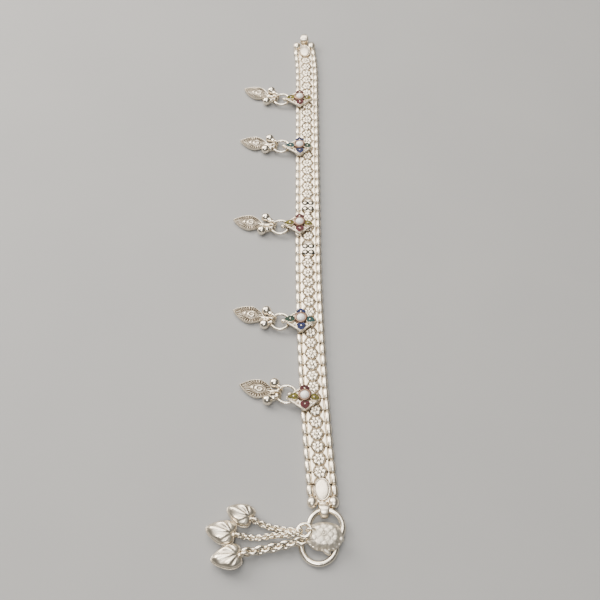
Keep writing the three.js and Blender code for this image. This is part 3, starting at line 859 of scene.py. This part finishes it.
def make_enamel_links():
    for name, first, flower_joint in (("enamel_link_near", 21, 24), ("enamel_link_far", 26, 26)):
        middle = joint_y(first + 1) + DOT_PLATE["ahead"]
        silver = band_rows(first, first + 2, [flower_joint])
        silver.append(dot_plate().on_strip(middle))
        silver.append(tail_scale().moved(0, -3.55).on_strip(middle))
        for x, y in DOT_PLACES:
            silver.append(globe(0.78, 0.42, 28).moved(x, y, 2.36).on_strip(middle))
        stand_in(name, silver, SATIN)
        pools = [dot_pool().moved(x, y).on_strip(middle) for x, y in DOT_PLACES]
        piece(f"{name}_enamel", pools, ENAMELS["black_green"])


# ---- drops
def jump_ring(number):
    """An open wire ring whose cut ends nearly meet, sloping up to the setting."""
    radius = JUMP_RING["ring"]
    form = rounded_tube(arc(radius, 62, 62 + 357, 64, whole=False), JUMP_RING["wire"], 14)
    tilt = math.degrees(math.atan2(JUMP_RING["rise"], radius))
    x, y, _ = place_of(f"jump_ring_{number}")
    return form.turned(-tilt, "Y").moved(x, y, JUMP_RING["z"])


def solid_points(name):
    """The points of a CAD node's solid, in the strip's frame."""
    return np.array([v.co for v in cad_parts[name].data.vertices]) / MM - ORIGIN


def leaf_tip(name, ring):
    """The point of a leaf's CAD solid farthest from its jump ring's middle."""
    points = solid_points(name)
    away = np.hypot(points[:, 0] - ring[0], points[:, 1] - ring[1])
    return points[away.argmax()]


def hang(number, target):
    """Where a drop's loop sits on the jump ring, and its direction in plan."""
    ring = place_of(f"jump_ring_{number}")
    out, degrees = plan_way(ring, target)
    place = ring * (1, 1, 0) + out * JUMP_RING["ring"]
    place[2] = JUMP_RING["z"] + JUMP_RING["rise"] * out[0]
    return place, out, degrees


def drop_loop(place, out, degrees):
    """A drop's wire loop about the jump ring, and the knob outside it."""
    loop = standing_ring(DROP_LOOP["ring"], DROP_LOOP["wire"], degrees + 90, place)
    knob = place + out * (DROP_LOOP["ring"] + 0.1)
    return [loop, globe(0.8, 1.0, 16, 9).moved(*knob)]


def ball_drop(number, name):
    """A polished ball whose thick collar runs out to a loop."""
    points = solid_points(name)
    centre = points[points[:, 2].argmax()] * (1, 1, 0) + (0, 0, BALL_RADIUS)
    place, out, degrees = hang(number, centre)
    reach = np.linalg.norm((place - centre)[:2]) - DROP_LOOP["ring"]
    turn = np.radians(np.linspace(-86, 46, 26))
    profile = [(math.cos(a) * BALL_RADIUS, math.sin(a) * BALL_RADIUS) for a in turn]
    collar = [(1.15, 1.42), (1.02, 1.62), (1.02, 1.9), (1.12, 2.1), (1.1, 2.4), (0.98, 2.8)]
    profile += [(r, z) for r, z in collar if z < reach] + [(0.85, max(reach, 1.6))]
    body = lathe(profile, 32).turned(90, "Y").turned(degrees + 180).moved(*centre)
    return [body] + drop_loop(place, out, degrees)


LEAF_SIDE = [(0, 0.0), (0.02, 0.16), (0.14, 0.56), (0.42, 1), (0.68, 0.8), (0.88, 0.38), (1, 0)]
LEAF_MIDDLE = 0.42
LEAF_TICKS = 25


def leaf_ticks(edge):
    """A wave round the outline that is 1 at each tick and 0 between."""
    length = np.append(0, np.cumsum(np.linalg.norm(np.diff(edge, axis=0), axis=1)))
    return (0.5 + 0.5 * np.cos(length / length[-1] * LEAF_TICKS * TAU))[None]


def leaf_body():
    """A pressed leaf, tip on +X: wire rim, radial ticks and a swirled drop in its middle."""
    edge = mirrored_outline(LEAF_SIDE, LEAF_MIDDLE, LEAF, 101)
    wave = leaf_ticks(edge)

    def swirl(x, y):
        away = np.hypot(x + 0.4, y * 1.25)
        return 0.5 + 0.5 * np.cos(np.arctan2(y, x + 0.4) + away * 4.6)

    def top(x, y, share):
        ticks = wave * step(0.5, 0.56, share) * step(0.9, 0.84, share)
        rim = bump(share - 0.95, 0.055)
        eye = 0.25 * bump(share, 0.48) + 0.28 * swirl(x, y) * step(0.46, 0.4, share)
        face = 1.2 + 0.3 * bump(share, 1.1) - 0.45 * step(0.97, 1, share)
        return face + 0.36 * ticks + 0.34 * rim + eye

    def bottom(x, y, share):
        return 0.75 - 0.72 * bump(share, 1.0) ** 0.8

    # its own darker tone all over, painted shade in the gaps between the ticks and in the swirl's
    # grooves, and dark lines in the ditch inside the rim and round the eye
    def dark(upper, share):
        gap = (1 - wave) ** 0.8 * step(0.5, 0.56, share) * step(0.92, 0.88, share)
        ditch = 0.95 * line_at(share, 0.885, 0.022)
        ring = 0.9 * line_at(share, 0.49, 0.03)
        line = 0.8 * (1 - swirl(upper[..., 0], upper[..., 1])) ** 2 * step(0.46, 0.42, share)
        return np.clip(0.12 + np.maximum.reduce([gap, ditch, ring, line]), 0, 1)

    shares = np.concatenate([np.linspace(0.02, 0.3, 11), np.linspace(0.33, 1, 30)])
    return relief(edge, shares, top, bottom, dark).moved(LEAF_MIDDLE * LEAF["length"], 0)


def leaf_drop(number, name):
    """A leaf on its neck, which starts in a round collar."""
    tip = leaf_tip(name, place_of(f"jump_ring_{number}"))
    place, out, degrees = hang(number, tip)
    start = tip - out * LEAF["length"]
    body = leaf_body().turned(degrees).moved(start[0], start[1])
    path = [place + out * (DROP_LOOP["ring"] + 0.1), start + out * 0.7]
    path[1][2] = LEAF["thickness"] / 2
    neck = rounded_tube(smooth_path(path, 5), 0.72, 12)
    collar = globe(1.0, 0.95).moved(*(start * (1, 1, 0) + (0, 0, 1.2)))
    return [body, neck, collar] + drop_loop(place, out, degrees)


def make_drops():
    for number in SETTING_JOINTS:
        stand_in(f"jump_ring_{number}", [jump_ring(number)], BRIGHT)
        for where in ("far", "near"):
            name = f"ball_drop_{number}_{where}"
            stand_in(name, ball_drop(number, name), BRIGHT)
        name = f"leaf_drop_{number}"
        stand_in(name, leaf_drop(number, name), SATIN)


# ---- clasp hook
HOOK_RINGS = (  # centre, radius, first and last angle, and whether the first end is free
    (4.9, -10.08, 5.3, 200, -70, False),
    (2.6, -15.9, 5.4, -188, 65, True),
)
HOOK_TOP_Y = -4.78  # where the hook is highest, inside the end loop
EYE_RADIUS = 1.45


def hook_ring(x, y, radius, start, end, free):
    """One wire ring of the hook, its ends run under the cap unless the first is free."""
    path = arc(radius, start, end, 60, whole=False) + (x, y, 0)
    path[:, 2] = HOOK_Z - (HOOK_TOP_Y - path[:, 1]) * HOOK_TILT
    under = np.array([[CAP["x"] - 2, CAP["y"], CAP["bottom"] + 0.3]])
    path = np.vstack([path, under] if free else [under, path, under])
    return rounded_tube(smooth_path(path, 96), HOOK_WIRE, 16)


GRAINS = (  # share of the way out, how many round, their radius and height
    (0.36, 6, 0.86, 0.20), (0.64, 10, 0.84, 0.22), (0.9, 15, 0.76, 0.26),
)
GRAIN_TOP = 0.3


def grains(x, y):
    """Height of the low rounded grains that cover the cap, in rings about its middle."""
    heading = np.arctan2(y / CAP["half_width"], x / CAP["half_length"])
    height = np.zeros(x.shape)
    for row, (share, count, radius, rise) in enumerate(GRAINS):
        nearest = (np.round((heading / TAU * count) + row / 2) - row / 2) / count * TAU
        away = np.hypot(x - np.cos(nearest) * share * CAP["half_length"],
                        y - np.sin(nearest) * share * CAP["half_width"])
        uneven = 0.78 + 0.22 * np.cos(5 * nearest + 2 * row)
        height = np.maximum(height, rise * uneven * bump(away, radius))
    return height


def cap_outline(turn, reach):
    """Points at the headings turn, at a share, reach, of the way out to the cap's boxy edge."""
    return oval_points(turn, CAP["half_length"] * reach, CAP["half_width"] * reach, 0.8, 0.8)


def cap_body():
    """The cast rosette: a boxy dome covered in low grains."""
    turn = around(180)
    reach = 1 - 0.03 * (1 - np.abs(np.cos(turn * 3.5 + 0.6)))

    def top(x, y, share):
        dome = CAP["rise"] * (1 - 0.20 * share**2 - 0.48 * step(0.66, 1.04, share))
        return CAP["bottom"] + dome - GRAIN_TOP + grains(x, y) * step(1.0, 0.94, share)

    def bottom(x, y, share):
        return CAP["bottom"] - 0.15 + 0.2 * share

    # painted shade on the low ground between the grains
    def dark(upper, share):
        return 0.28 * (1 - grains(upper[..., 0], upper[..., 1]) / GRAIN_TOP) ** 2

    shares = np.concatenate([[0.02, 0.06, 0.11, 0.15], np.linspace(0.19, 1, 46)])
    return relief(cap_outline(turn, reach), shares, top, bottom, dark)


def cap_beads():
    """A row of beads low on the cap's front face."""
    bead = globe(0.55, 0.9, 18, 10).moved(0, 0, CAP["bottom"] + 0.75)
    return [bead.moved(x, y) for x, y in cap_outline(np.radians(np.arange(200, 345, 16)), 0.9)]


def tassel_eye():
    """The wire eye round the upper tassel ring's wire, and the arm that runs under the cap."""
    name = "tassel_ring_upper"
    high = corners_of(name)[1] - TASSEL_RINGS[name][1]
    centre = np.array([high[0], place_of(name)[1], high[2]])
    root = centre + (EYE_RADIUS, 0, 0)
    under_cap = (CAP["x"] - 2, CAP["y"], centre[2] - 0.5)
    arm = smooth_path([root - (0.1, 0, 0), root + (1.0, -0.3, -0.1), under_cap], 8)
    return [standing_ring(EYE_RADIUS, 0.34, 90, centre), rounded_tube(arm, 0.45)]


def make_clasp():
    top = CAP["bottom"] + CAP["rise"]
    boss = [ring_form(0.75, 0.17, 32, 10).moved(-0.3, 0.5, top - 0.12),
            globe(0.36, 0.8, 16, 9).moved(-0.3, 0.5, top - 0.2)]
    knob = globe(0.95, 0.95).moved(CAP["half_length"] - 0.5, -1.0, CAP["bottom"] + 0.95)
    tail = smooth_path([(-0.6, -3.2, 2.4), (0.3, -4.3, 2.1), (1.1, -4.9, 1.9)], 9)
    forms = [cap_body()] + cap_beads() + boss + [knob, rounded_tube(tail, 0.85, 16)]
    forms = [form.moved(CAP["x"], CAP["y"]) for form in forms]
    piece("clasp_hook_cap", forms, CAST)
    forms = [hook_ring(*ring) for ring in HOOK_RINGS] + tassel_eye()
    stand_in("clasp_hook", forms, BRIGHT)


# ---- tassel
TASSEL_RINGS = {  # ring radius, wire, and the slopes towards X and Y
    "tassel_ring_upper": (2.05, 0.6, 0.2, 0),
    "tassel_ring_lower": (1.6, 0.5, 0, -0.4),
}
CHAINS = (
    {
        "route": [(-3.6, -11.6, 2.9), (-5.0, -11.5, 2.65), (-7.5, -11.2, 1.9), (-9.8, -10.6, 1.35),
                  (-12.4, -10.1, 1.25), (-15.3, -9.1, 1.6), (-17.2, -8.3, 2.2)],
        "length": 2.7, "width": 2.4, "wire": 0.38, "pitch": 1.25, "rolls": (45, -45),
    },
    {
        "route": [(-3.7, -13.1, 3.6), (-5.2, -13.2, 4.2), (-7.5, -13.3, 3.9), (-10.0, -13.1, 3.0),
                  (-12.6, -13.0, 1.85), (-15.0, -13.2, 1.15), (-17.6, -13.3, 1.1),
                  (-20.2, -13.1, 1.6), (-22.2, -12.8, 2.2)],
        "length": 2.3, "width": 2.1, "wire": 0.33, "pitch": 0.82, "rolls": (0, 60, 120),
    },
    {
        "route": [(-3.9, -14.9, 2.4), (-5.1, -15.2, 2.4), (-7.5, -15.8, 2.1), (-9.6, -16.2, 1.8),
                  (-12.0, -16.7, 1.7), (-14.2, -17.1, 1.7), (-17.8, -17.8, 1.85),
                  (-19.6, -18.1, 2.3)],
        "length": 4.0, "width": 3.4, "wire": 0.55, "pitch": 2.0, "rolls": (40, -50),
    },
)
HEARTS = {1: (156.0, 0.94), 2: (168.0, 1.0), 3: (190.7, 1.0)}  # headings of their tips, and sizes


def tassel_ring(name):
    radius, wire, slope_x, slope_y = TASSEL_RINGS[name]
    form = ring_form(radius, wire, 56, 16)
    form = form.turned(-math.degrees(math.atan(slope_x)), "Y")
    return form.turned(math.degrees(math.atan(slope_y)), "X").moved(*place_of(name))


def chain_forms(route, length, width, wire, pitch, rolls):
    """Oval wire links along a route, each rolled on from the last."""
    fine = smooth_path(route, 200)
    total = np.linalg.norm(np.diff(fine, axis=0), axis=1).sum()
    count = round(total / pitch) + 1
    places = smooth_path(route, count)
    tangents, first, second = path_frames(places)
    oval = arc(1.0, steps=28) * (length / 2 - wire, width / 2 - wire, 1)
    link = tube(oval, wire, 10, closed=True)
    forms = []
    for k in range(count):
        roll = math.radians(rolls[k % len(rolls)])
        across = first[k] * math.cos(roll) + second[k] * math.sin(roll)
        away = np.cross(tangents[k], across)
        turn = np.stack([tangents[k], across, away])
        forms.append(Form(link.points @ turn + places[k], link.faces, link.dark))
    return forms


HEART_SIDE = [(0.1, 0), (0.045, 0.14), (0.0, 0.42), (0.05, 0.78), (0.26, 1), (0.5, 0.95),
              (0.78, 0.6), (0.94, 0.28), (1, 0)]
HEART_MIDDLE = 0.42
HEART_FAN = -3.4  # the point the flutes spread from, along the heart from its middle
HEART_FLUTES = 11


def heart_forms():
    """A puffed heart: flutes spread from its notch over both faces, a thin lip round its edge."""
    edge = mirrored_outline(HEART_SIDE, HEART_MIDDLE, HEART, 97)
    rise = HEART["thickness"] / 2

    def flute(x, y):
        return 0.5 + 0.5 * np.cos(np.arctan2(y, x - HEART_FAN) * HEART_FLUTES)

    def inside(x, share):
        return step(HEART_FAN + 0.6, HEART_FAN + 2.4, x) * step(0.9, 0.64, share)

    def puff(x, y, share):
        body = (rise - 0.66) * bump(share, 0.935) ** 0.6
        body = body + 0.36 * flute(x, y) * inside(x, share)
        return np.where(share < 0.93, body, 0.0) + 0.3 * step(1.02, 0.96, share)

    # painted shade in the flutes' valleys, and a dark line in the groove inside the lip
    def dark(upper, share):
        x, y = upper[..., 0], upper[..., 1]
        crease = 0.32 * (1 - flute(x, y)) ** 2 * inside(x, share)
        return np.maximum(crease, 0.8 * line_at(share, 0.935, 0.014))

    lip = [0.905, 0.926, 0.936, 0.945, 0.96, 0.98, 0.99, 1]
    shares = np.append(np.linspace(0.03, 0.88, 24), lip)
    body = relief(edge, shares, puff, lambda x, y, share: -puff(x, y, share), dark)
    body = body.moved((HEART_MIDDLE - 0.5) * HEART["length"], 0)
    back = -HEART["length"] / 2
    stem = standing_ring(HEART["stem_ring"], HEART["stem_wire"], 90,
                         (back - HEART["stem_ring"] * 0.7, 0, 0))
    neck = globe(0.95).scaled(1.3, 1, 1).moved(back + 0.6, 0, 0)
    return [body, stem, neck]


def heart_place(number, heading):
    """The middle of a heart, half its length back from the tip of its CAD solid."""
    turn = math.radians(heading)
    out = np.array([math.cos(turn), math.sin(turn), 0])
    points = solid_points(f"heart_{number}")
    reach = points @ out
    tip = points[reach > reach.max() - 0.05].mean(0)
    return tip * (1, 1, 0) - out * HEART["length"] / 2 + (0, 0, HEART["thickness"] / 2)


def make_tassel():
    for name in TASSEL_RINGS:
        stand_in(name, [tassel_ring(name)], BRIGHT)
    for number, chain in enumerate(CHAINS, 1):
        stand_in(f"tassel_chain_{number}", chain_forms(**chain), BRIGHT)
    for number, (heading, size) in HEARTS.items():
        x, y, z = heart_place(number, heading)
        forms = [form.scaled(size, size, 1).turned(heading).moved(x, y, z)
                 for form in heart_forms()]
        stand_in(f"heart_{number}", forms, SATIN)


# ---- studio
AIM = Vector(ORIGIN + (-3.218, 76.686, 0)) * MM
CAMERA_PLACE = Vector(ORIGIN + (-3.218, -92.71, 251.2)) * MM
CAMERA_PITCH = 56
CAMERA_LENS = 48.54
FLOOR_HALF = 2.0
SOFTBOXES = (  # name, place, width and length, power, colour
    ("overhead_softbox", (-0.12, 0.40, 0.76), (0.75, 0.95), 12.5, (1.0, 0.95, 0.88)),
    ("left_softbox", (-0.66, 0.40, 0.44), (0.45, 0.45), 11.0, (1.0, 0.94, 0.87)),
    ("top_softbox", (-0.10, -0.42, 0.85), (0.35, 0.35), 5.5, (1.0, 0.98, 0.95)),
)


def make_camera():
    data = bpy.data.cameras.new("camera")
    data.lens = CAMERA_LENS
    data.sensor_width = 36
    data.clip_start = 0.01
    camera = add_object("camera", data)
    camera.location = CAMERA_PLACE
    camera.rotation_euler = (math.radians(90 - CAMERA_PITCH), 0, 0)
    bpy.context.scene.camera = camera


def make_floor():
    half = FLOOR_HALF
    mesh = bpy.data.meshes.new("floor")
    mesh.from_pydata([(-half, -half, 0), (half, -half, 0), (half, half, 0), (-half, half, 0)], [],
                     [(0, 1, 2, 3)])
    mesh.materials.append(floor_material())
    add_object("floor", mesh)


def make_lights():
    for name, place, size, power, colour in SOFTBOXES:
        data = bpy.data.lights.new(name, "AREA")
        data.shape = "RECTANGLE"
        data.size, data.size_y = size
        data.energy = power
        data.color = colour
        light = add_object(name, data)
        light.location = place
        light.rotation_euler = (AIM - Vector(place)).to_track_quat("-Z", "Y").to_euler()
    world = bpy.data.worlds.new("studio")
    world.use_nodes = True
    background = world.node_tree.nodes["Background"]
    background.inputs["Color"].default_value = (0.92, 0.93, 0.95, 1)
    background.inputs["Strength"].default_value = 0.14
    bpy.context.scene.world = world


make_camera()
make_floor()
make_lights()
make_band_runs()
make_end_links()
make_settings()
make_enamel_links()
make_drops()
make_clasp()
make_tassel()
